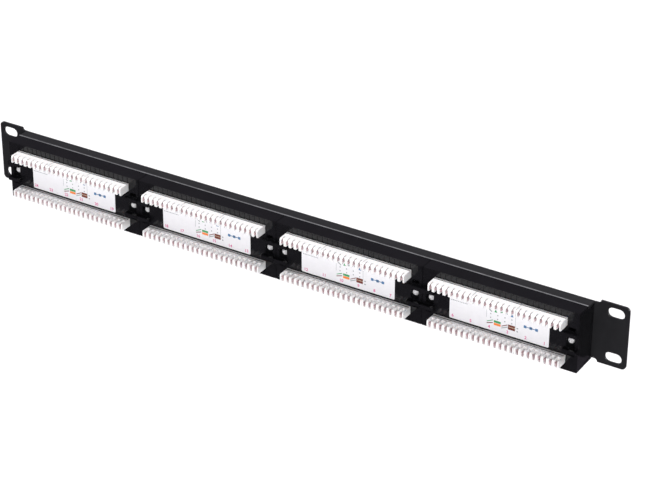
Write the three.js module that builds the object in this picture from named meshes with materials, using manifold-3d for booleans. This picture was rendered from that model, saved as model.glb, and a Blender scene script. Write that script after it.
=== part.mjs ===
// A 24-port rack patch panel, one rack unit high, as an assembly of separate pieces.
// Millimetres, +Z up. +X runs to the right as seen from the front and +Y points to the rear.
// The origin lies in the plane of the ears' rear faces, midway between the rack screw slots.

import * as THREE from 'three';
import { mergeVertices } from 'three/addons/utils/BufferGeometryUtils.js';
import Module from 'manifold-3d';

const wasm = await Module();
wasm.setup();

// ---- driving dimensions ----

const gap = 0.3; // air left where two pieces meet
const overrun = 1; // how far a cutting solid runs past the face it cuts

// The steel panel.
const sheet = 1.5;
const rackWidth = 482.6;
const panelHeight = 44;
const earCornerRadius = 2.8;
const slotSpacingX = 465.1;
const slotSpacingZ = 31.75;
const slotLength = 11.5;
const slotHeight = 7;
const channelHalfLength = 218;
const channelHalfHeight = 20.7;
const bendRadius = 2;
const flangeRear = 9;
const reliefRadius = 2;
const reliefDepth = 19.9; // distance from the middle line to the bottom of a bend relief

// The port modules.
const moduleCount = 4;
const modulePitch = 109;
const portsPerModule = 6;
const portPitch = 15.4;
const windowWidth = 104;
const windowHeight = 21;

// The jack housing, in front of and through the steel, and the bracket beside and behind it that the screws bite into.
const bodyHalfWidth = 45.5;
const rimHalfWidth = 53.7;
const rimHalfHeight = 12.3;
const rimThickness = 1.6;
const jackRear = 12.5;
const bossRear = 14.6;
const bossHalfWidth = 2.9;
const bossHalfHeight = 4;
const bracketBarLow = -9.5;
const bracketBarHigh = -6.5;

// One modular socket: a plug opening with its latch channel below.
const plugWidth = 11.9;
const plugTop = 4.9;
const plugBottom = -2;
const latchWidth = 6.4;
const latchBottom = -4.4;

// The contact carrier and its spring wires.
const carrierThickness = 1.4;
const carrierHalfWidth = 44.5;
const carrierHalfHeight = 5.3;
const wiresPerPort = 8;
const wirePitch = 1.02;
const wireSize = 0.46;
const wireFrontY = 2;
const wireFrontZ = 4.3;
const wireRearZ = 1.2;

// The circuit board.
const boardThickness = 1.6;
const boardHalfWidth = 44.6;
const boardHalfHeight = 16.6;

// The rear housing.
const rearFace = 20;
const rearPlate = 2.5;
const rearHalfWidth = 54.3;
const rearHalfHeight = 21.1;
const rearWall = 1.6;
const rearCavityHalfHeight = 17.3;
const wellInnerX = 45;
const wellHalfHeight = 4.9;
const wellDepth = 5.1; // from the rear face to the front of the screw's seat
const pocketInnerX = 46.2;
const pocketOuterX = 52;
const pocketHalfHeight = 4.1;
const pocketDepth = 3.1;
const coreInnerX = 47.1;
const coreOuterX = 52.1;
const coreLowZ = 7.5;
const coreHighZ = 10;
const padInnerX = 44.8;
const padLowZ = 4.6;
const padHighZ = 7.1;
const padHeight = 3.2;

// The insulation-displacement blocks: two rows of three on each module.
const blocksPerRow = 3;
const blockPitch = 30.76;
const blockLength = blockPitch - gap;
const wireSlots = 8;
const wireSlotPitch = 3.81;
const wireSlotWidth = 1.3;
const blockInnerZ = 10.6;
const blockOuterZ = 16.15;
const ridgeZ = 17.1;
const ridgeStart = 21.4;
const ridgeEnd = 22.8;
const slotFloor = 24.5;
const blockRear = 28.9;

// The wiring labels.
const labelHalfWidth = 34.7;
const labelHalfHeight = 9.05;
const labelThickness = 0.25;
const labelCornerRadius = 1;
const glueLine = 0.05;

// The housing screws.
const screwX = 48.7;
const screwHeadRadius = 2.25;
const screwHeadHeight = 1.7;
const screwShankRadius = 1.45;
const screwTip = 5;
const screwSides = 10;
const driveLength = 2.6;
const driveWidth = 0.7;
const driveDepth = 0.8;

const arcSteps = 4; // half the number of straight steps in each arc

// ---- solids ----

function toSolid(geometry) {
  const bare = geometry.clone();
  bare.deleteAttribute('normal');
  bare.deleteAttribute('uv');
  const merged = mergeVertices(bare, 1e-4);
  const mesh = new wasm.Mesh({
    numProp: 3,
    vertProperties: new Float32Array(merged.attributes.position.array),
    triVerts: new Uint32Array(merged.index.array),
  });
  return new wasm.Manifold(mesh);
}

function toGeometry(solid) {
  const mesh = solid.getMesh();
  const indexed = new THREE.BufferGeometry();
  indexed.setAttribute('position', new THREE.BufferAttribute(mesh.vertProperties, 3));
  indexed.setIndex(new THREE.BufferAttribute(mesh.triVerts, 1));
  const faceted = indexed.toNonIndexed();
  faceted.computeVertexNormals();
  return faceted;
}

function box(x0, x1, y0, y1, z0, z1) {
  const geometry = new THREE.BoxGeometry(x1 - x0, y1 - y0, z1 - z0);
  geometry.translate((x0 + x1) / 2, (y0 + y1) / 2, (z0 + z1) / 2);
  return toSolid(geometry);
}

// A shape drawn in X and Z, pushed along Y from y0 to y1.
function alongY(shape, y0, y1) {
  const geometry = new THREE.ExtrudeGeometry(shape, {
    depth: y1 - y0,
    bevelEnabled: false,
    curveSegments: arcSteps,
  });
  geometry.rotateX(Math.PI / 2);
  geometry.translate(0, y1, 0);
  return toSolid(geometry);
}

// A shape drawn in Y and Z, pushed along X from x0 to x1.
function alongX(shape, x0, x1) {
  const geometry = new THREE.ExtrudeGeometry(shape, {
    depth: x1 - x0,
    bevelEnabled: false,
    curveSegments: arcSteps,
  });
  geometry.applyMatrix4(new THREE.Matrix4().set(0, 0, 1, 0, 1, 0, 0, 0, 0, 1, 0, 0, 0, 0, 0, 1));
  geometry.translate(x0, 0, 0);
  return toSolid(geometry);
}

// A shape drawn in X and Y, pushed along Z from z0 to z1.
function alongZ(shape, z0, z1) {
  const geometry = new THREE.ExtrudeGeometry(shape, {
    depth: z1 - z0,
    bevelEnabled: false,
    curveSegments: arcSteps,
  });
  geometry.translate(0, 0, z0);
  return toSolid(geometry);
}

// A round bar along Y, with its axis at x and z.
function barY(radius, x, z, y0, y1) {
  const geometry = new THREE.CylinderGeometry(radius, radius, y1 - y0, screwSides);
  geometry.translate(x, (y0 + y1) / 2, z);
  return toSolid(geometry);
}

function polygon(points) {
  return new THREE.Shape(points.map(([a, b]) => new THREE.Vector2(a, b)));
}

function joined(solids) {
  return solids.reduce((sum, solid) => sum.add(solid));
}

function cut(solid, tools) {
  return tools.reduce((rest, tool) => rest.subtract(tool), solid);
}

// Calls make(side) for the left end, -1, and the right end, +1.
function bothEnds(make) {
  return [-1, 1].flatMap((side) => make(side));
}

// A box given for the right-hand end, and mirrored where side is -1.
function endBox(side, inner, outer, y0, y1, z0, z1) {
  return box(Math.min(side * inner, side * outer), Math.max(side * inner, side * outer), y0, y1, z0, z1);
}

function centred(count, pitch) {
  return Array.from({ length: count }, (_, index) => (index - (count - 1) / 2) * pitch);
}

// ---- the steel panel ----

function channelProfile() {
  const centreY = bendRadius - sheet;
  const centreZ = channelHalfHeight - bendRadius;
  const innerRadius = bendRadius - sheet;
  const shape = new THREE.Shape();
  shape.moveTo(flangeRear, -channelHalfHeight);
  shape.lineTo(flangeRear, -channelHalfHeight + sheet);
  shape.absarc(centreY, -centreZ, innerRadius, -Math.PI / 2, Math.PI, true);
  shape.absarc(centreY, centreZ, innerRadius, Math.PI, Math.PI / 2, true);
  shape.lineTo(flangeRear, channelHalfHeight - sheet);
  shape.lineTo(flangeRear, channelHalfHeight);
  shape.absarc(centreY, centreZ, bendRadius, Math.PI / 2, Math.PI, false);
  shape.absarc(centreY, -centreZ, bendRadius, Math.PI, 1.5 * Math.PI, false);
  return shape;
}

function slotPath(x, z) {
  const radius = slotHeight / 2;
  const straight = slotLength / 2 - radius;
  const path = new THREE.Path();
  path.absarc(x + straight, z, radius, -Math.PI / 2, Math.PI / 2, false);
  path.absarc(x - straight, z, radius, Math.PI / 2, 1.5 * Math.PI, false);
  return path;
}

// One ear with the neck that ties it into the channel, its two slots and its bend reliefs.
function earShape(side) {
  const outer = rackWidth / 2;
  const top = panelHeight / 2;
  const reliefX = channelHalfLength + reliefRadius;
  const plainZ = channelHalfHeight - bendRadius;
  const cornerX = outer - earCornerRadius;
  const cornerZ = top - earCornerRadius;
  const shape = new THREE.Shape();
  shape.moveTo(channelHalfLength - sheet, -plainZ);
  shape.lineTo(channelHalfLength, -plainZ);
  shape.lineTo(channelHalfLength, -reliefDepth);
  shape.absarc(reliefX, -reliefDepth - reliefRadius, reliefRadius, Math.PI / 2, 0, true);
  shape.lineTo(reliefX + reliefRadius, -top);
  shape.absarc(cornerX, -cornerZ, earCornerRadius, -Math.PI / 2, 0, false);
  shape.absarc(cornerX, cornerZ, earCornerRadius, 0, Math.PI / 2, false);
  shape.lineTo(reliefX + reliefRadius, top);
  shape.absarc(reliefX, reliefDepth + reliefRadius, reliefRadius, 0, -Math.PI / 2, true);
  shape.lineTo(channelHalfLength, reliefDepth);
  shape.lineTo(channelHalfLength, plainZ);
  shape.lineTo(channelHalfLength - sheet, plainZ);
  const points = shape.getPoints(arcSteps).map((point) => new THREE.Vector2(side * point.x, point.y));
  const ear = new THREE.Shape(points);
  for (const z of [-slotSpacingZ / 2, slotSpacingZ / 2]) {
    ear.holes.push(slotPath((side * slotSpacingX) / 2, z));
  }
  return ear;
}

function rackPanel(moduleCentres) {
  const channel = alongX(channelProfile(), -channelHalfLength, channelHalfLength);
  const ears = bothEnds((side) => [alongY(earShape(side), -sheet, 0)]);
  const windows = moduleCentres.map((x) =>
    box(x - windowWidth / 2, x + windowWidth / 2, -sheet - overrun, overrun, -windowHeight / 2, windowHeight / 2),
  );
  return cut(joined([channel, ...ears]), windows);
}

// ---- one port module ----

function socketShape(x) {
  return polygon([
    [x - plugWidth / 2, plugTop],
    [x - plugWidth / 2, plugBottom],
    [x - latchWidth / 2, plugBottom],
    [x - latchWidth / 2, latchBottom],
    [x + latchWidth / 2, latchBottom],
    [x + latchWidth / 2, plugBottom],
    [x + plugWidth / 2, plugBottom],
    [x + plugWidth / 2, plugTop],
  ]);
}

function jackHousing() {
  const rimRear = -sheet - gap;
  const rimFront = rimRear - rimThickness;
  const bodyHalfHeight = windowHeight / 2 - gap;
  const rim = box(-rimHalfWidth, rimHalfWidth, rimFront, rimRear, -rimHalfHeight, rimHalfHeight);
  const body = box(-bodyHalfWidth, bodyHalfWidth, rimFront, jackRear, -bodyHalfHeight, bodyHalfHeight);
  const sockets = centred(portsPerModule, portPitch).map((x) =>
    alongY(socketShape(x), rimFront - overrun, jackRear + overrun),
  );
  return cut(joined([rim, body]), sockets);
}

// The bracket that the screws bite into: a post in the window at each end of the jack housing, with a boss
// and a screw hole at its rear, and a bar behind the housing that joins the two.
function mountingBracket() {
  const inner = bodyHalfWidth + gap;
  const outer = windowWidth / 2 - gap;
  const halfHeight = windowHeight / 2 - gap;
  const barFront = jackRear + gap;
  const barRear = barFront + carrierThickness;
  const posts = bothEnds((side) => [
    endBox(side, inner, outer, -sheet, jackRear, -halfHeight, halfHeight),
    endBox(side, inner, screwX + bossHalfWidth, 0, bossRear, -bossHalfHeight, bossHalfHeight),
    endBox(side, inner, outer, 0, barRear, bracketBarLow, bracketBarHigh),
  ]);
  const bar = box(-outer, outer, barFront, barRear, bracketBarLow, bracketBarHigh);
  const holes = bothEnds((side) => [
    barY(screwShankRadius + gap, side * screwX, 0, screwTip - overrun, bossRear + overrun),
  ]);
  return cut(joined([...posts, bar]), holes);
}

// A slanted square bar from the carrier's front face up to the roof of the socket's mouth.
function springWire(x, carrierFront) {
  const half = wireSize / 2;
  const rearY = carrierFront + carrierThickness / 2;
  const side = polygon([
    [wireFrontY, wireFrontZ - half],
    [rearY, wireRearZ - half],
    [rearY, wireRearZ + half],
    [wireFrontY, wireFrontZ + half],
  ]);
  return alongX(side, x - half, x + half);
}

function contactCarrier() {
  const front = jackRear + gap;
  const bar = box(
    -carrierHalfWidth,
    carrierHalfWidth,
    front,
    front + carrierThickness,
    -carrierHalfHeight,
    carrierHalfHeight,
  );
  const wires = centred(portsPerModule, portPitch).flatMap((portX) =>
    centred(wiresPerPort, wirePitch).map((wireX) => springWire(portX + wireX, front)),
  );
  return joined([bar, ...wires]);
}

const boardFront = jackRear + gap + carrierThickness + gap;
const boardRear = boardFront + boardThickness;

function circuitBoard() {
  return box(-boardHalfWidth, boardHalfWidth, boardFront, boardRear, -boardHalfHeight, boardHalfHeight);
}

// A shell open towards the front. Each end has a screw well between two raised pads, with a core-out
// beyond each pad, and each block row has a window.
function rearHousing() {
  const innerHalfWidth = rearHalfWidth - rearWall;
  const channelClear = channelHalfHeight - sheet - gap;
  const plateFront = rearFace - rearPlate;
  const rowHalf = ((blocksPerRow - 1) / 2) * blockPitch + blockLength / 2 + gap;
  const nose = box(-rearHalfWidth, rearHalfWidth, gap, rearFace, -channelClear, channelClear);
  const stern = box(-rearHalfWidth, rearHalfWidth, flangeRear + gap, rearFace, -rearHalfHeight, rearHalfHeight);
  const cavity = box(
    -innerHalfWidth,
    innerHalfWidth,
    gap - overrun,
    plateFront,
    -rearCavityHalfHeight,
    rearCavityHalfHeight,
  );
  const wells = bothEnds((side) => [
    endBox(
      side,
      wellInnerX,
      innerHalfWidth + rearWall / 2,
      rearFace - wellDepth,
      rearFace,
      -wellHalfHeight,
      wellHalfHeight,
    ),
  ]);
  const pads = bothEnds((side) => [
    endBox(side, padInnerX, rearHalfWidth, plateFront, rearFace + padHeight, padLowZ, padHighZ),
    endBox(side, padInnerX, rearHalfWidth, plateFront, rearFace + padHeight, -padHighZ, -padLowZ),
  ]);
  const pockets = bothEnds((side) => [
    endBox(
      side,
      pocketInnerX,
      pocketOuterX,
      rearFace - pocketDepth,
      rearFace + overrun,
      -pocketHalfHeight,
      pocketHalfHeight,
    ),
    endBox(side, coreInnerX, coreOuterX, plateFront - overrun, rearFace + overrun, coreLowZ, coreHighZ),
    endBox(side, coreInnerX, coreOuterX, plateFront - overrun, rearFace + overrun, -coreHighZ, -coreLowZ),
    barY(screwShankRadius + gap, side * screwX, 0, rearFace - wellDepth - overrun, rearFace),
  ]);
  const rowWindows = bothEnds((side) => {
    const inner = side * (blockInnerZ - gap);
    const outer = side * (blockOuterZ + gap);
    const low = Math.min(inner, outer);
    const high = Math.max(inner, outer);
    return [box(-rowHalf, rowHalf, plateFront - overrun, rearFace + overrun, low, high)];
  });
  const shell = cut(joined([nose, stern]), [cavity]);
  return cut(joined([shell, ...wells, ...pads]), [...pockets, ...rowWindows]);
}

// ---- one insulation-displacement block, drawn for the upper row ----

// The outline seen along Z: a solid base with the wire slots open at the rear.
function combShape() {
  const halfLength = blockLength / 2;
  const points = [
    [-halfLength, blockRear],
    [-halfLength, boardRear + gap],
    [halfLength, boardRear + gap],
    [halfLength, blockRear],
  ];
  for (const x of centred(wireSlots, wireSlotPitch).reverse()) {
    points.push([x + wireSlotWidth / 2, blockRear]);
    points.push([x + wireSlotWidth / 2, slotFloor]);
    points.push([x - wireSlotWidth / 2, slotFloor]);
    points.push([x - wireSlotWidth / 2, blockRear]);
  }
  return polygon(points);
}

function idcBlock(row) {
  const comb = alongZ(combShape(), blockInnerZ, blockOuterZ);
  const ridge = box(-blockLength / 2, blockLength / 2, ridgeStart, ridgeEnd, blockInnerZ, ridgeZ);
  const upper = comb.add(ridge);
  return row === 'top' ? upper : upper.mirror([0, 0, 1]);
}

function wiringLabel() {
  const shape = new THREE.Shape();
  const x = labelHalfWidth;
  const z = labelHalfHeight;
  const r = labelCornerRadius;
  shape.moveTo(x, z);
  shape.lineTo(-x, z);
  shape.absarc(-x + r, -z + r, r, Math.PI, 1.5 * Math.PI, false);
  shape.absarc(x - r, -z + r, r, 1.5 * Math.PI, 2 * Math.PI, false);
  return alongY(shape, rearFace + glueLine, rearFace + glueLine + labelThickness);
}

// A pan-head screw along Y with a cross recess, its head towards the rear.
function housingScrew() {
  const seat = rearFace - pocketDepth + gap;
  const head = seat + screwHeadHeight;
  const profile = [
    [0, screwTip],
    [screwShankRadius, screwTip + screwShankRadius],
    [screwShankRadius, seat],
    [screwHeadRadius, seat],
    [screwHeadRadius, seat + screwHeadHeight * 0.45],
    [screwHeadRadius * 0.8, seat + screwHeadHeight * 0.88],
    [0, head],
  ];
  const turned = new THREE.LatheGeometry(
    profile.map(([radius, y]) => new THREE.Vector2(radius, y)),
    screwSides,
  );
  const recess = [
    box(-driveLength / 2, driveLength / 2, head - driveDepth, head + overrun, -driveWidth / 2, driveWidth / 2),
    box(-driveWidth / 2, driveWidth / 2, head - driveDepth, head + overrun, -driveLength / 2, driveLength / 2),
  ];
  return cut(toSolid(turned), recess);
}

// ---- materials ----

const finishes = {
  steel: { color: 0x1b1c1e, roughness: 0.55, metalness: 0.2 },
  housing: { color: 0x121316, roughness: 0.28, metalness: 0 },
  carrier: { color: 0x8d7430, roughness: 0.4, metalness: 0.6 },
  board: { color: 0x1f5a34, roughness: 0.45, metalness: 0 },
  block: { color: 0xf2f1ee, roughness: 0.4, metalness: 0 },
  label: { color: 0xf4f4f5, roughness: 0.6, metalness: 0 },
  screw: { color: 0xc9cacc, roughness: 0.25, metalness: 1 },
};

// ---- assembly ----

const panel = new THREE.Group();

function place(name, geometry, finish, x = 0) {
  const mesh = new THREE.Mesh(geometry, new THREE.MeshStandardMaterial(finishes[finish]));
  mesh.name = name;
  mesh.position.x = x;
  panel.add(mesh);
}

// Modules are numbered as their ports are, from the left as seen from the front.
const moduleCentres = centred(moduleCount, modulePitch);
const jackGeometry = toGeometry(jackHousing());
const bracketGeometry = toGeometry(mountingBracket());
const carrierGeometry = toGeometry(contactCarrier());
const boardGeometry = toGeometry(circuitBoard());
const rearGeometry = toGeometry(rearHousing());
const labelGeometry = toGeometry(wiringLabel());
const screwGeometry = toGeometry(housingScrew());
const blockGeometry = {
  top: toGeometry(idcBlock('top')),
  bottom: toGeometry(idcBlock('bottom')),
};

place('rack_panel', toGeometry(rackPanel(moduleCentres)), 'steel');
moduleCentres.forEach((x, index) => {
  const number = index + 1;
  place(`jack_housing_${number}`, jackGeometry, 'housing', x);
  place(`mounting_bracket_${number}`, bracketGeometry, 'housing', x);
  place(`contact_carrier_${number}`, carrierGeometry, 'carrier', x);
  place(`circuit_board_${number}`, boardGeometry, 'board', x);
  place(`rear_housing_${number}`, rearGeometry, 'housing', x);
  place(`wiring_label_${number}`, labelGeometry, 'label', x);
  place(`housing_screw_${number}_left`, screwGeometry, 'screw', x - screwX);
  place(`housing_screw_${number}_right`, screwGeometry, 'screw', x + screwX);
  for (const row of ['top', 'bottom']) {
    centred(blocksPerRow, blockPitch).forEach((blockX, block) => {
      place(`idc_block_${number}_${row}_${block + 1}`, blockGeometry[row], 'block', x + blockX);
    });
  }
});

export default panel;
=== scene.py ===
"""Rack patch panel with four six-port modules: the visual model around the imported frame."""
import math

import bmesh
import bpy
from mathutils import Matrix, Vector


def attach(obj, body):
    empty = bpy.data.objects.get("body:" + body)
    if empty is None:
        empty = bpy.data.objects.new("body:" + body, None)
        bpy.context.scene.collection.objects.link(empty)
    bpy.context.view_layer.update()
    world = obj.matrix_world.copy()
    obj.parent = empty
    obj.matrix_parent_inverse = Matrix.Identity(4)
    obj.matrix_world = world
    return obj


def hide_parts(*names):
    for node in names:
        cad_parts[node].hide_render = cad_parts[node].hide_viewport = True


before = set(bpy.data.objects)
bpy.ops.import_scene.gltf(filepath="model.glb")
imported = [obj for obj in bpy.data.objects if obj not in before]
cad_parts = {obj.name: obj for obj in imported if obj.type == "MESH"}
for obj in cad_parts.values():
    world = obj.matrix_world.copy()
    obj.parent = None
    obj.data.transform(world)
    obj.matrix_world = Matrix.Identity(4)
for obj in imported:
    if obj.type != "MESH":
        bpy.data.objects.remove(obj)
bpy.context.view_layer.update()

# Lengths are in millimetres, except in the studio. MM turns them into metres where a mesh is
# made or a piece is placed.
MM = 0.001
scene = bpy.context.scene

MODULE_X = (-163.5, -54.5, 54.5, 163.5)
PORTS = 6           # in each module
PORT_PITCH = 15.4
BLOCKS = 3          # in each of a module's two rows
BLOCK_PITCH = 30.76
BLOCK_HALF = 15.23
SLOTS = 8           # in each block
SLOT_PITCH = 3.81


def spaced(count, pitch):
    """The positions of count things at this pitch, centred on zero."""
    return [(k - (count - 1) / 2) * pitch for k in range(count)]


# ---------------------------------------------------------------- materials

class Nodes:
    """A material under construction: one Principled shader and the nodes that feed it."""

    def __init__(self, name, base, rough, **fixed):
        self.mat = bpy.data.materials.new(name)
        self.mat.use_nodes = True
        self.tree = self.mat.node_tree
        self.bsdf = self.tree.nodes["Principled BSDF"]
        self.set("Base Color", (*base, 1.0))
        self.set("Roughness", rough)
        for key, value in fixed.items():
            self.set(key.replace("_", " "), value)
        self.coords = self.add("ShaderNodeTexCoord").outputs["Object"]

    def set(self, socket, value):
        self.bsdf.inputs[socket].default_value = value

    def add(self, kind, **values):
        node = self.tree.nodes.new(kind)
        for key, value in values.items():
            if hasattr(node, key):
                setattr(node, key, value)
            else:
                node.inputs[key.replace("_", " ")].default_value = value
        return node

    def link(self, a, b):
        self.tree.links.new(a, b)

    def noise(self, grain, detail, stretch=(1, 1, 1)):
        """Noise whose grains are about this many millimetres across."""
        mapping = self.add("ShaderNodeMapping")
        mapping.inputs["Scale"].default_value = [s / (grain * MM) for s in stretch]
        self.link(self.coords, mapping.inputs["Vector"])
        node = self.add("ShaderNodeTexNoise", Scale=1.0, Detail=detail, Roughness=0.5)
        self.link(mapping.outputs["Vector"], node.inputs["Vector"])
        return node.outputs["Fac"]

    def remap(self, value, low, high, window):
        """The part of the noise inside the window, spread from low to high."""
        node = self.add("ShaderNodeMapRange", From_Min=window[0], From_Max=window[1],
                        To_Min=low, To_Max=high)
        self.link(value, node.inputs["Value"])
        return node.outputs["Result"]

    def colour(self, factor, dark, light):
        node = self.add("ShaderNodeMix", data_type="RGBA")
        factor_socket, a_socket, b_socket = node.inputs[0], node.inputs[6], node.inputs[7]
        a_socket.default_value = (*dark, 1.0)
        b_socket.default_value = (*light, 1.0)
        self.link(factor, factor_socket)
        self.link(node.outputs[2], self.bsdf.inputs["Base Color"])

    def roughness(self, value):
        self.link(value, self.bsdf.inputs["Roughness"])

    def bump(self, layers):
        """Each layer is (height, strength, distance in millimetres), on top of the one before."""
        normal = None
        for height, strength, distance in layers:
            node = self.add("ShaderNodeBump", Strength=strength, Distance=distance * MM)
            self.link(height, node.inputs["Height"])
            if normal:
                self.link(normal, node.inputs["Normal"])
            normal = node.outputs["Normal"]
        self.link(normal, self.bsdf.inputs["Normal"])


NOISE_WINDOW = (0.3, 0.7)


def tone(colour, factor):
    return tuple(min(1.0, c * factor) for c in colour)


def surface(name, base, rough, mottle, gloss=None, relief=(), stretch=(1, 1, 1),
            window=NOISE_WINDOW, **fixed):
    """A material from its base colour and roughness, and how each varies over the surface.

    mottle: grain and detail of the colour's noise, and the factors of its dark and light tone
    gloss:  grain and detail of the roughness's noise, and its lowest and highest value
    relief: rows of grain, detail, strength and depth, one for each layer of bumps
    stretch and window shape the noise of the colour, and stretch that of the bumps too.
    """
    m = Nodes(name, base, rough, **fixed)
    grain, detail, dark, light = mottle
    spots = m.remap(m.noise(grain, detail, stretch), 0, 1, window)
    m.colour(spots, tone(base, dark), tone(base, light))
    if gloss:
        grain, detail, low, high = gloss
        m.roughness(m.remap(m.noise(grain, detail), low, high, NOISE_WINDOW))
    if relief:
        m.bump([(m.noise(grain, detail, stretch), strength, depth)
                for grain, detail, strength, depth in relief])
    return m.mat


def metal(name, base, rough, grain, metallic):
    """A metal whose noise all follows from one grain size."""
    return surface(name, base, rough,
                   mottle=(grain * 3, 3, 0.78, 1.12),
                   gloss=(grain, 3, rough * 0.75, rough * 1.35),
                   relief=[(grain * 0.4, 2, 0.2, 0.006)],
                   Metallic=metallic)


def ink(name, base):
    return surface(name, base, 0.5, mottle=(0.35, 2, 0.86, 1.12), relief=[(0.12, 3, 0.25, 0.004)])


STEEL = surface("powder_coated_steel", (0.0115, 0.0115, 0.013), 0.42,
                mottle=(9, 3, 0.86, 1.16),
                gloss=(1.2, 3, 0.38, 0.50),
                relief=[(0.55, 2, 0.35, 0.03), (0.16, 1, 0.25, 0.008)],
                Specular_IOR_Level=0.36)
# The powder coat on the flanges' rear edges: glossy, and a lighter grey than the steel's, which is
# a painted highlight line.
EDGE_HIGHLIGHT = surface("painted_edge_highlight", (0.20, 0.20, 0.21), 0.30,
               mottle=(6, 3, 0.75, 1.25),
               gloss=(2.5, 3, 0.26, 0.38),
               relief=[(0.5, 2, 0.2, 0.02)])
BLACK = surface("black_plastic", (0.0052, 0.0052, 0.0062), 0.16,
                mottle=(14, 3, 0.85, 1.2),
                gloss=(3.5, 4, 0.12, 0.21),
                relief=[(22, 1, 0.12, 0.12), (0.22, 2, 0.12, 0.004)],
                Specular_IOR_Level=0.40)
WHITE = surface("white_plastic", (0.90, 0.89, 0.885), 0.34,
                mottle=(7, 3, 0.975, 1.015),
                gloss=(1.5, 3, 0.29, 0.40),
                relief=[(0.4, 2, 0.15, 0.008)],
                Subsurface_Weight=0.12, Subsurface_Scale=0.0012,
                Subsurface_Radius=(1.0, 0.8, 0.7))
BRONZE = metal("bronze_contact", (0.64, 0.46, 0.48), 0.42, grain=0.8, metallic=0.45)
GOLD = metal("gold_contact", (0.86, 0.62, 0.24), 0.2, grain=0.6, metallic=1.0)
ZINC = metal("screw_steel", (0.90, 0.90, 0.91), 0.36, grain=0.7, metallic=0.55)
FILM = surface("printed_label", (0.775, 0.77, 0.79), 0.45,
               mottle=(5, 4, 0.975, 1.01),
               gloss=(0.9, 3, 0.40, 0.52),
               relief=[(0.12, 3, 0.25, 0.006), (18, 1, 0.2, 0.05)])
BOARD = surface("circuit_board", (0.015, 0.085, 0.035), 0.30,
                mottle=(1.3, 3, 0.75, 1.35),
                gloss=(2, 3, 0.25, 0.38),
                relief=[(1.3, 1, 0.3, 0.03)],
                stretch=(1, 1, 6), window=(0.45, 0.55), Coat_Weight=0.3)
INSERT = surface("contact_insert", (0.018, 0.018, 0.019), 0.42,
                 mottle=(4, 3, 0.8, 1.25),
                 gloss=(0.8, 3, 0.36, 0.5),
                 relief=[(0.25, 2, 0.3, 0.01)])
INKS = {
    "red": ink("ink_red", (0.66, 0.09, 0.27)),
    "blue": ink("ink_blue", (0.06, 0.17, 0.34)),
    "green": ink("ink_green", (0.04, 0.33, 0.11)),
    "orange": ink("ink_orange", (0.86, 0.22, 0.03)),
    "brown": ink("ink_brown", (0.16, 0.028, 0.018)),
    "grey": ink("ink_grey", (0.28, 0.30, 0.31)),
    "cream": ink("ink_cream", (0.72, 0.60, 0.42)),
    "white": ink("ink_white", (0.80, 0.80, 0.80)),
}


# ---------------------------------------------------------------- mesh code

def mesh_from(name, bm):
    """A mesh of this bmesh, which is freed."""
    bmesh.ops.recalc_face_normals(bm, faces=bm.faces)
    mesh = bpy.data.meshes.new(name)
    bm.to_mesh(mesh)
    bm.free()
    return mesh


def place(name, mesh, materials, replaces=(), x=0):
    """A new piece that rides on the root body, shown instead of the named nodes.

    Pieces that share a mesh share its materials, so only the first one adds them.
    """
    obj = bpy.data.objects.new(name, mesh)
    scene.collection.objects.link(obj)
    obj.location = Vector((x, 0, 0)) * MM
    if not mesh.materials:
        for material in materials:
            mesh.materials.append(material)
    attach(obj, "root")
    if replaces:
        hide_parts(*replaces)


def rectangle(a0, a1, b0, b1):
    return [(a0, b0), (a1, b0), (a1, b1), (a0, b1)]


def rounded(points, radii):
    """The outline with each corner rounded by its radius."""
    steps = 6
    result = []
    for i, radius in enumerate(radii):
        corner = Vector(points[i])
        if radius <= 0:
            result.append(tuple(corner))
            continue
        before, after = Vector(points[i - 1]), Vector(points[(i + 1) % len(points)])
        to_before, to_after = (before - corner).normalized(), (after - corner).normalized()
        angle = to_before.angle(to_after)
        reach = radius / math.tan(angle / 2)
        centre = corner + (to_before + to_after).normalized() * radius / math.sin(angle / 2)
        start = corner + to_before * reach - centre
        end = corner + to_after * reach - centre
        turn = math.atan2(start.x * end.y - start.y * end.x, start.dot(end))
        for k in range(steps + 1):
            a = turn * k / steps
            result.append((centre.x + start.x * math.cos(a) - start.y * math.sin(a),
                           centre.y + start.x * math.sin(a) + start.y * math.cos(a)))
    return result


def wall(bm, ring, next_ring):
    """The faces between two rings of vertices."""
    count = len(ring)
    for i in range(count):
        j = (i + 1) % count
        bm.faces.new((ring[i], ring[j], next_ring[j], next_ring[i]))


def prism(bm, outline, axis, low, high):
    """A closed prism from low to high, of a (y, z) outline along x or an (x, z) one along y."""
    def point(a, b, along):
        return Vector((along, a, b) if axis == "x" else (a, along, b)) * MM
    first, last = [[bm.verts.new(point(a, b, along)) for a, b in outline] for along in (low, high)]
    bm.faces.new(first)
    bm.faces.new(last)
    wall(bm, first, last)


def baked(mesh, *modifiers):
    """The mesh after these modifiers, each a (type, settings) pair, in turn."""
    obj = bpy.data.objects.new("work", mesh)
    scene.collection.objects.link(obj)
    for kind, settings in modifiers:
        modifier = obj.modifiers.new(kind.lower(), kind)
        for key, value in settings.items():
            setattr(modifier, key, value)
    deps = bpy.context.evaluated_depsgraph_get()
    result = bpy.data.meshes.new_from_object(obj.evaluated_get(deps))
    bpy.data.objects.remove(obj)
    return result


def carved(mesh, cutter_mesh):
    """The first closed mesh less the second."""
    tool = bpy.data.objects.new("tool", cutter_mesh)
    scene.collection.objects.link(tool)
    tool.hide_render = True
    result = baked(mesh, ("BOOLEAN", {"object": tool, "operation": "DIFFERENCE",
                                      "solver": "EXACT", "use_self": False}))
    bpy.data.objects.remove(tool)
    return result


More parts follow.
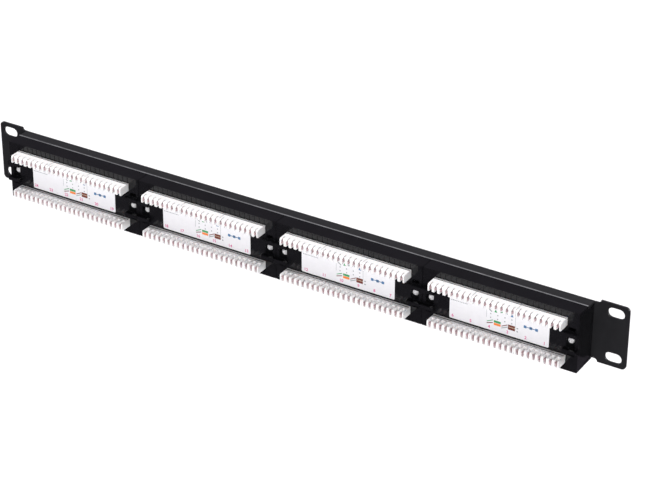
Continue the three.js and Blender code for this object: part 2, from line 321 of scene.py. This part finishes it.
def cleaned(mesh, angle=1.0, merge=0.002):
    """The same shape with close vertices joined, and with each flat region as a single face."""
    bm = bmesh.new()
    bm.from_mesh(mesh)
    bmesh.ops.remove_doubles(bm, verts=bm.verts, dist=merge * MM)
    bmesh.ops.dissolve_limit(bm, angle_limit=math.radians(angle), verts=bm.verts, edges=bm.edges)
    return mesh_from(mesh.name, bm)


def softened(mesh, width, segments=2, angle=28):
    """Bevelled edges and smooth shading, as on a moulded or folded part."""
    for polygon in mesh.polygons:
        polygon.use_smooth = True
    return baked(mesh,
                 ("BEVEL", {"width": width * MM, "segments": segments,
                            "limit_method": "ANGLE", "angle_limit": math.radians(angle),
                            "use_clamp_overlap": True, "miter_outer": "MITER_SHARP"}),
                 ("WEIGHTED_NORMAL", {"mode": "FACE_AREA", "weight": 100, "keep_sharp": False}))


def upside_down(mesh):
    """A copy mirrored through the plane z = 0."""
    copy = mesh.copy()
    copy.transform(Matrix.Diagonal((1, 1, -1, 1)))
    copy.flip_normals()
    return copy


def cad_copy(node):
    """A clean copy of a node's mesh, without materials."""
    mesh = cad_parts[node].data.copy()
    mesh.materials.clear()
    return cleaned(mesh)


def centred_copy(node):
    """A copy of a node of the first module, moved to x = 0."""
    mesh = cad_copy(node)
    mesh.transform(Matrix.Translation(Vector((-MODULE_X[0], 0, 0)) * MM))
    return mesh


# ---------------------------------------------------------------- steel panel

def bead_mesh():
    """The beads of thick powder coat along the rear edges of the two flanges, coloured lighter as
    a painted highlight line.
    """
    bead_y, bead_z, radius, half_length = 8.66, 21.08, 0.34, 217.5
    sides = 12
    turns = [2 * math.pi * k / sides for k in range(sides)]
    bm = bmesh.new()
    for side in (-1, 1):
        ring = [(bead_y + radius * math.cos(turn), side * bead_z + radius * math.sin(turn))
                for turn in turns]
        prism(bm, ring, "x", -half_length, half_length)
    return softened(mesh_from("flange_edges", bm), width=0.05, segments=1, angle=60)


def build_panel():
    panel = softened(cad_copy("rack_panel"), width=0.22)
    place("steel_panel", panel, [STEEL], ["rack_panel"])
    # The beads' light grey is a painted highlight along each flange's rear edge.
    place("flange_edge_beads", bead_mesh(), [EDGE_HIGHLIGHT])


# ---------------------------------------------------------------- housings

def rear_shell_mesh():
    """The rear housing, with fine upright grooves in the strips beyond the two rows."""
    grooves, half_width = 25, 0.35
    inner_z, outer_z = 16.8, 20.6
    floor_y, open_y = 19.7, 20.6
    bm = bmesh.new()
    for x in spaced(grooves, SLOT_PITCH):
        for side in (-1, 1):
            low, high = sorted((side * inner_z, side * outer_z))
            groove = rectangle(x - half_width, x + half_width, low, high)
            prism(bm, groove, "y", floor_y, open_y)
    shell = carved(centred_copy("rear_housing_1"), mesh_from("grooves", bm))
    return softened(cleaned(shell, angle=0.5, merge=0.0005), width=0.18)


def build_housings():
    port_block = softened(centred_copy("jack_housing_1"), width=0.16)
    bracket = softened(centred_copy("mounting_bracket_1"), width=0.16)
    shapes = ((rear_shell_mesh(), "rear_shell", "rear_housing"),
              (port_block, "port_block", "jack_housing"),
              (bracket, "screw_bracket", "mounting_bracket"))
    for n, x in enumerate(MODULE_X, 1):
        for mesh, name, node in shapes:
            place(f"{name}_{n}", mesh, [BLACK], [f"{node}_{n}"], x)


# ---------------------------------------------------------------- wire-terminal blocks

# The wide mouth of a wire slot and the fine slit above it: the floor's y, and the height and
# half-width at each of their stations.
MOUTH_FLOOR = 23.7
MOUTH = ((9.9, 1.32), (10.6, 1.24), (11.1, 1.12), (12.2, 1.04), (13.2, 0.98), (14.4, 0.92),
         (15.1, 0.72), (15.6, 0.36))
SLIT_FLOOR = 25.0
SLIT = ((15.0, 0.28), (17.8, 0.28))


def slot_cutters(floor_y, stations):
    """The cutters for one kind of opening of a block's slots. They reach past its rear face."""
    open_y = 30.5
    bm = bmesh.new()
    for x in spaced(SLOTS, SLOT_PITCH):
        rings = []
        for z, half in stations:
            corners = rectangle(-half, half, floor_y, open_y)
            rings.append([bm.verts.new(Vector((x + a, b, z)) * MM) for a, b in corners])
        for ring, next_ring in zip(rings, rings[1:]):
            wall(bm, ring, next_ring)
        bm.faces.new(rings[0])
        bm.faces.new(rings[-1])
    return mesh_from("comb_cutter", bm)


def comb_mesh():
    """One upper block about x = 0: a moulded comb with eight wire slots, open to the rear."""
    front_y, rear_y, inner_z, outer_z = 16.4, 28.9, 10.6, 16.15
    bm = bmesh.new()
    profile = rounded(rectangle(front_y, rear_y, inner_z, outer_z), [0, 0.9, 1.5, 0])
    prism(bm, profile, "x", -BLOCK_HALF, BLOCK_HALF)
    comb = carved(mesh_from("comb_body", bm), slot_cutters(MOUTH_FLOOR, MOUTH))
    comb = carved(comb, slot_cutters(SLIT_FLOOR, SLIT))
    comb = cleaned(comb, angle=0.5, merge=0.0005)
    return softened(comb, width=0.11, segments=2, angle=32)


def fork(bm, x, side):
    """A bronze blade slanted across a slot, with a fine gap for the wire between its two tines."""
    centre = Vector((x, side * 13.95))
    along = Vector((-0.42, side * 0.907))
    across = Vector((along.y, -along.x))
    gap, reach = 0.07, 1.8
    half = 0.55 if side > 0 else 0.34
    front_y, rear_y = 26.2, 28.4
    for hand in (-1, 1):
        tine = [tuple(centre + along * a * hand + across * b)
                for a, b in rectangle(gap, reach, -half, half)]
        prism(bm, tine, "y", front_y, rear_y)


def blades_mesh(row, side):
    """All the contact blades of one row of a module."""
    bm = bmesh.new()
    for block_x in spaced(BLOCKS, BLOCK_PITCH):
        for slot_x in spaced(SLOTS, SLOT_PITCH):
            fork(bm, block_x + slot_x, side)
    return softened(mesh_from(f"blades_{row}", bm), width=0.05, segments=1, angle=40)


def block_trim_mesh():
    """The thin black lips of the housing that hold the blocks, along the edges of the rows."""
    front_y, rear_y, half_length = 21.15, 21.5, 45.9
    bm = bmesh.new()
    for bottom, top in ((16.0, 16.34), (-10.75, -10.42), (-16.34, -16.0)):
        prism(bm, rectangle(front_y, rear_y, bottom, top), "x", -half_length, half_length)
    return softened(mesh_from("block_trim", bm), width=0.06, segments=1, angle=40)


def build_blocks():
    upper = comb_mesh()
    upper.materials.clear()
    for row, side, comb in (("top", 1, upper), ("bottom", -1, upside_down(upper))):
        blades = blades_mesh(row, side)
        for n, x in enumerate(MODULE_X, 1):
            place(f"wire_contacts_{n}_{row}", blades, [BRONZE], x=x)
            for b, block_x in enumerate(spaced(BLOCKS, BLOCK_PITCH), 1):
                place(f"wire_block_{n}_{row}_{b}", comb, [WHITE],
                      [f"idc_block_{n}_{row}_{b}"], x + block_x)
    trim = block_trim_mesh()
    for n, x in enumerate(MODULE_X, 1):
        place(f"block_trim_{n}", trim, [BLACK], x=x)


# ---------------------------------------------------------------- labels

CARD_HALF_WIDTH = 34.7
CARD_HALF_HEIGHT = 9.05
FILM_BOTTOM = 20.03
FILM_TOP = 20.3
INK_DEPTH = 0.02    # the ink's thickness over the film, and how far it sinks into it
CREAM_LIFT = 0.01   # the cream dashes lie on top of brown
CARD_INKS = ["red", "blue", "green", "orange", "brown", "grey", "cream"]

# The port numbers on a card aren't quite evenly spaced, and the second card has its own spacing.
NUMBER_X = (-31.7, -18.8, -6.2, 6.6, 19.6, 32.3)
CARD_NUMBER_X = (NUMBER_X, (-31.7, -19.9, -8.1, 4.7, 17.6, 31.4), NUMBER_X, NUMBER_X)
NUMBER_HALF_DEPTH = 0.01
CARD_NUMBER_SIZE = 3.0
CARD_NUMBER_Y = FILM_TOP + NUMBER_HALF_DEPTH
CARD_NUMBER_Z = -6.9
PORT_NUMBER_SIZE = 4.2
PORT_NUMBER_Y = -1.5
PORT_NUMBER_Z = 15.7


def stroke(a, b, width):
    """The outline of a straight stroke from a to b."""
    a, b = Vector(a), Vector(b)
    side = (b - a).normalized()
    side = Vector((-side.y, side.x)) * width / 2
    return [tuple(p) for p in (a + side, b + side, b - side, a - side)]


def triangle(x, z):
    """A small upright triangle."""
    half_width, half_height = 1.05, 0.95
    return [(x - half_width, z - half_height), (x + half_width, z - half_height),
            (x, z + half_height)]


def dashes(start, count, pitch, width, low, high):
    """A row of marks, from start towards -X."""
    return [rectangle(start - i * pitch - width, start - i * pitch, low, high)
            for i in range(count)]


def dot(x, z):
    """A small mark that stands for a character."""
    return rectangle(x - 0.36, x + 0.36, z - 0.42, z + 0.42)


def card_shapes():
    """The print of a card about x = 0, as pairs of an ink and an outline.

    Generic marks stand where such a card has words and letters.
    """
    # Two upright rules.
    for x, low, high in ((8.6, -0.6, 4.7), (-11.4, -4.2, 6.9)):
        yield "grey", rectangle(x - 0.1, x + 0.1, low, high)
    # The coloured bars, the brown one with cream dashes.
    yield "green", rectangle(-1.4, 3.4, -2.75, -1.2)
    yield "orange", rectangle(-1.4, 3.4, -4.65, -3.0)
    for low, high in ((-2.6, -1.2), (-4.7, -3.1), (-3.1, -2.6)):
        yield "brown", rectangle(-11.3, -6.5, low, high)
    for outline in dashes(-7.0, 4, 1.15, 0.75, -3.08, -2.62):
        yield "cream", outline
    # The pairs of wires beside the bars.
    yield "green", stroke((8.2, -3.3), (4.1, -1.4), 0.55)
    yield "brown", stroke((8.3, -4.6), (4.1, -3.3), 0.6)
    yield "brown", stroke((-2.0, -3.9), (-6.2, -1.7), 0.55)
    yield "grey", stroke((-2.0, -5.2), (-6.2, -3.2), 0.55)
    # The symbols along the top.
    yield "grey", stroke((7.1, 5.9), (5.0, 4.3), 0.7)
    yield "green", triangle(2.34, 5.57)
    yield "grey", stroke((-0.5, 5.2), (-0.9, 6.8), 0.7)
    yield "green", stroke((-1.4, 5.6), (-2.4, 6.3), 0.7)
    yield "grey", stroke((-4.2, 7.1), (-6.0, 5.7), 0.5)
    yield "blue", triangle(-8.98, 5.71)
    # The columns of characters above the bars, and the two beside them.
    for x in (5.71, 0.81, -4.16, -8.96):
        for z in (2.75, 0.0):
            yield "grey", dot(x, z)
    for z in (-2.2, -4.4):
        yield "grey", rectangle(-13.5, -12.4, z - 0.42, z + 0.42)
    # The blue mark, and a line of fine print near the upper edge.
    for outline in dashes(-17.2, 3, 3.95, 1.9, -0.1, 1.8):
        yield "blue", outline
    yield "blue", rectangle(-25.1, -19.1, 0.6, 1.1)
    for outline in dashes(33.6, 10, 1.18, 0.8, 4.05, 4.55):
        yield "grey", outline


def film_mesh(n, x):
    bm = bmesh.new()
    outline = rectangle(x - CARD_HALF_WIDTH, x + CARD_HALF_WIDTH,
                        -CARD_HALF_HEIGHT, CARD_HALF_HEIGHT)
    prism(bm, rounded(outline, [1.0, 1.0, 0.4, 0.4]), "y", FILM_BOTTOM, FILM_TOP)
    return softened(mesh_from(f"film_{n}", bm), width=0.05, segments=1, angle=40)


def print_mesh(n, x):
    """The printed shapes of one card, as flat solids whose material index is their ink's."""
    bm = bmesh.new()
    for colour, outline in card_shapes():
        first = len(bm.faces)
        top = FILM_TOP + INK_DEPTH + (CREAM_LIFT if colour == "cream" else 0)
        prism(bm, [(x + a, b) for a, b in outline], "y", FILM_TOP - INK_DEPTH, top)
        bm.faces.ensure_lookup_table()
        for face in bm.faces[first:]:
            face.material_index = CARD_INKS.index(colour)
    return mesh_from(f"prints_{n}", bm)


def number_mesh(text, size, at, facing):
    """A generic numeral as a thin solid, upright, facing +Y (1) or -Y (-1)."""
    curve = bpy.data.curves.new("number", "FONT")
    curve.body = text
    curve.size = size * MM
    curve.align_x = "CENTER"
    curve.align_y = "CENTER"
    curve.extrude = NUMBER_HALF_DEPTH * MM
    curve.offset = 0.02 * size * MM
    curve.resolution_u = 3
    obj = bpy.data.objects.new("number", curve)
    scene.collection.objects.link(obj)
    deps = bpy.context.evaluated_depsgraph_get()
    mesh = bpy.data.meshes.new_from_object(obj.evaluated_get(deps))
    bpy.data.objects.remove(obj)
    upright = Matrix.Rotation(math.radians(90), 4, "X")
    if facing > 0:
        upright = Matrix.Rotation(math.radians(180), 4, "Z") @ upright
    mesh.transform(Matrix.Translation(Vector(at) * MM) @ upright)
    return mesh


def numbers_mesh(name, n, size, places, facing):
    """The numbers of a module's six ports as one mesh, each at its place."""
    bm = bmesh.new()
    for number, at in enumerate(places, (n - 1) * PORTS + 1):
        bm.from_mesh(number_mesh(str(number), size, at, facing))
    return mesh_from(f"{name}_{n}", bm)


def build_labels():
    for n, x in enumerate(MODULE_X, 1):
        place(f"wiring_card_{n}", film_mesh(n, x), [FILM], [f"wiring_label_{n}"])
        place(f"card_print_{n}", print_mesh(n, x),
              [INKS[name] for name in CARD_INKS])
        on_card = [(x + a, CARD_NUMBER_Y, CARD_NUMBER_Z) for a in CARD_NUMBER_X[n - 1]]
        place(f"card_numbers_{n}", numbers_mesh("digits", n, CARD_NUMBER_SIZE, on_card, 1),
              [INKS["red"]])
        on_front = [(x + a, PORT_NUMBER_Y, PORT_NUMBER_Z) for a in spaced(PORTS, PORT_PITCH)]
        place(f"port_numbers_{n}",
              numbers_mesh("front_digits", n, PORT_NUMBER_SIZE, on_front, -1),
              [INKS["white"]])


# ---------------------------------------------------------------- contacts, screws, boards

def spring_wires_mesh():
    """The forty-eight gilded spring wires of a module.

    Each one is bent up from the insert to the socket's mouth.
    """
    path = [(13.3, 1.2), (11.4, 1.2), (10.4, 1.5), (2.9, 4.05), (2.2, 4.3), (1.8, 4.3)]
    half, wires, wire_pitch = 0.23, 8, 1.02
    outline = [(y, z + half) for y, z in path] + [(y, z - half) for y, z in reversed(path)]
    bm = bmesh.new()
    for port_x in spaced(PORTS, PORT_PITCH):
        for wire_x in spaced(wires, wire_pitch):
            centre = port_x + wire_x
            prism(bm, outline, "x", centre - half, centre + half)
    return softened(mesh_from("spring_wires", bm), width=0.12, segments=2, angle=25)


def contact_insert_mesh():
    """The black bar behind the sockets, with two guides that reach into each socket."""
    half_width, half_height, front_y, rear_y = 44.5, 5.3, 12.53, 13.93
    guide_half, guide_rear_y = 5.2, 12.6
    bm = bmesh.new()
    bar = rounded(rectangle(-half_width, half_width, -half_height, half_height), [0.8] * 4)
    prism(bm, bar, "y", front_y, rear_y)
    for x in spaced(PORTS, PORT_PITCH):
        for bottom, top, tip_y in ((-1.4, 0.9, 10.6), (1.55, 2.4, 11.2)):
            guide = rectangle(x - guide_half, x + guide_half, bottom, top)
            prism(bm, guide, "y", tip_y, guide_rear_y)
    return softened(mesh_from("contact_insert", bm), width=0.15, segments=2, angle=30)


def build_fittings():
    wires, insert = spring_wires_mesh(), contact_insert_mesh()
    for n, x in enumerate(MODULE_X, 1):
        place(f"contact_insert_{n}", insert, [INSERT],
              [f"contact_carrier_{n}"], x)
        place(f"spring_wires_{n}", wires, [GOLD], x=x)
        for side in ("left", "right"):
            screw = softened(cad_copy(f"housing_screw_{n}_{side}"), width=0.1)
            place(f"cross_head_screw_{n}_{side}", screw, [ZINC],
                  [f"housing_screw_{n}_{side}"])
        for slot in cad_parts[f"circuit_board_{n}"].material_slots:
            slot.material = BOARD


# ---------------------------------------------------------------- studio, in metres

FLOOR_SIZE = 80
FLOOR_Z = -0.9
WORLD_COLOUR = (0.112, 0.10, 0.122, 1)
# Name, energy, softness in degrees, and the way the light goes.
SUNS = (("key", 2.9, 28, (-0.08, 0.16, -0.98)),
        ("fill", 2.9, 55, (0.36, -0.91, -0.18)),
        ("front", 1.8, 20, (0.38, 0.92, -0.06)))
CAMERA_AT = (-0.71526, 1.12424, 0.74724)
CAMERA_TARGET = (-0.02397, -0.00166, 0.00168)
CAMERA_LENS = 129.03
CAMERA_ROLL = 0.15


def turned_along(direction):
    """The rotation that turns a light or a camera to face this way."""
    return Vector(direction).to_track_quat("-Z", "Y")


def studio():
    """A pale floor, an even world, three soft suns and the camera."""
    bpy.ops.mesh.primitive_grid_add(x_subdivisions=2, y_subdivisions=2, size=FLOOR_SIZE,
                                    location=(0, 0, FLOOR_Z))
    floor = bpy.context.object
    floor.name = "studio_floor"
    floor.data.materials.append(surface("studio_floor", (0.93, 0.93, 0.93), 0.85,
                                        mottle=(300, 2, 0.995, 1.0)))
    floor.visible_glossy = False

    world = bpy.data.worlds.new("studio_world")
    world.use_nodes = True
    background = world.node_tree.nodes["Background"]
    background.inputs["Color"].default_value = WORLD_COLOUR
    background.inputs["Strength"].default_value = 1.0
    scene.world = world

    for name, energy, softness, direction in SUNS:
        light = bpy.data.lights.new(name, "SUN")
        light.energy = energy
        light.angle = math.radians(softness)
        obj = bpy.data.objects.new(name, light)
        obj.rotation_euler = turned_along(direction).to_euler()
        scene.collection.objects.link(obj)

    scene.view_settings.view_transform = "Standard"
    scene.view_settings.look = "None"

    data = bpy.data.cameras.new("photo_view")
    data.sensor_width = 36
    data.lens = CAMERA_LENS
    data.clip_start = 0.01
    data.clip_end = 100
    camera = bpy.data.objects.new("photo_view", data)
    camera.location = CAMERA_AT
    aim = turned_along(Vector(CAMERA_TARGET) - camera.location).to_matrix()
    roll = Matrix.Rotation(math.radians(CAMERA_ROLL), 3, "Z")
    camera.rotation_euler = (aim @ roll).to_euler()
    scene.collection.objects.link(camera)
    scene.camera = camera


build_panel()
build_housings()
build_blocks()
build_labels()
build_fittings()
studio()
